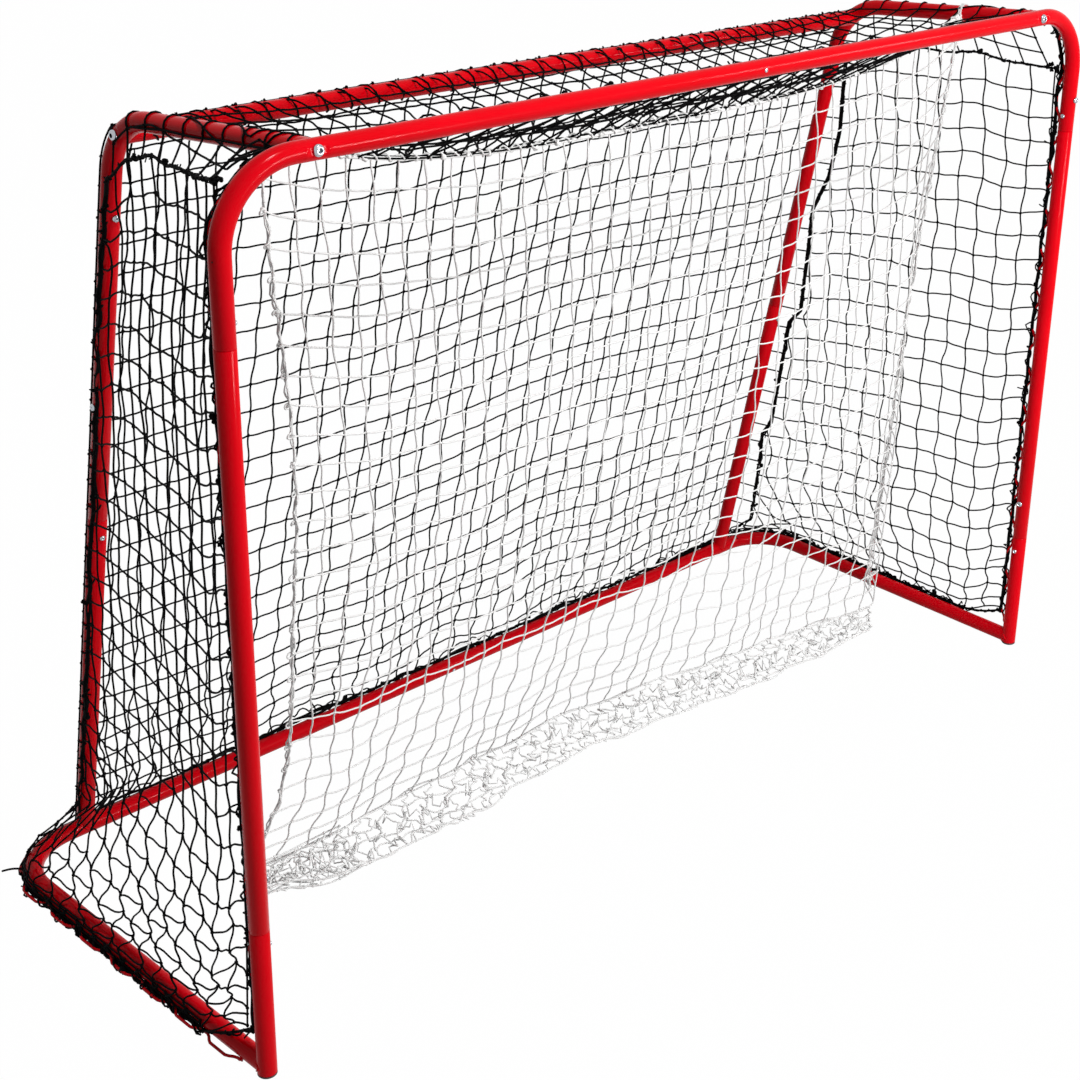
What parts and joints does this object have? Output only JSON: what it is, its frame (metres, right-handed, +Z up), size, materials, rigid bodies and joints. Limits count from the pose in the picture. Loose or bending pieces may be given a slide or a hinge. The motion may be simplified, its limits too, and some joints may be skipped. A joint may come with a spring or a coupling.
{
  "type": "floorball goal",
  "caption": "Floorball goal of bolted red steel tube with a black knotted net and a white drop net hanging inside.",
  "frame": {"origin": "on the floor, under the middle of the goal's width and depth", "axes": "+X along the crossbar to the right seen from the front, +Y from the mouth to the back net, +Z up"},
  "size_m": [1.6702, 0.6592, 1.175],
  "materials": {
    "red_paint": "gloss powder coat",
    "cap_rubber": "matte",
    "bright_zinc": "bright zinc plate",
    "insert_steel": "plain",
    "black_cord": "knotted cord",
    "white_cord": "knotted cord"
  },
  "bodies": {
    "root": {"front_frame": "red_paint", "base_frame": "red_paint", "rear_top_bar": "red_paint", "post_tube_left": "red_paint", "post_tube_right": "red_paint", "rear_post_left": "red_paint", "rear_post_right": "red_paint", "hoop_left": "red_paint", "hoop_right": "red_paint", "foot_cap_left": "cap_rubber", "foot_cap_right": "cap_rubber", "crossbar_bolt_left": "bright_zinc", "crossbar_bolt_right": "bright_zinc", "crossbar_insert_left": "insert_steel", "crossbar_insert_right": "insert_steel", "rear_bar_bolt_left": "bright_zinc", "rear_bar_bolt_right": "bright_zinc", "rear_bar_insert_left": "insert_steel", "rear_bar_insert_right": "insert_steel", "post_high_screw_left": "bright_zinc", "post_high_screw_right": "bright_zinc", "post_low_screw_left": "bright_zinc", "post_low_screw_right": "bright_zinc", "rear_post_screw_left": "bright_zinc", "rear_post_screw_right": "bright_zinc", "post_net_screw_left": "bright_zinc", "post_net_screw_right": "bright_zinc", "hoop_front_screw_left": "bright_zinc", "hoop_front_screw_right": "bright_zinc", "hoop_outer_screw_left": "bright_zinc", "hoop_outer_screw_right": "bright_zinc", "post_front_screw_right": "bright_zinc", "crossbar_rivet": "bright_zinc", "base_rivet": "bright_zinc", "rear_top_bar_rivet": "bright_zinc", "crossbar_net_wire": "red_paint", "base_net_wire": "red_paint", "corner_net_wire_left": "red_paint", "corner_net_wire_right": "red_paint", "post_net_wire_left": "red_paint", "post_net_wire_right": "red_paint", "foot_net_wire_left": "red_paint", "foot_net_wire_right": "red_paint", "back_net": "black_cord", "top_net": "black_cord", "side_net_left": "black_cord", "side_net_right": "black_cord", "side_seam_rope_left": "black_cord", "side_seam_rope_right": "black_cord", "corner_seam_rope_left": "black_cord", "corner_seam_rope_right": "black_cord", "drop_net": "white_cord", "drop_net_head_rope": "white_cord", "drop_net_tail": "white_cord", "drop_net_rail_tie": "white_cord", "drop_net_base_tie": "white_cord"}
  },
  "joints": []
}
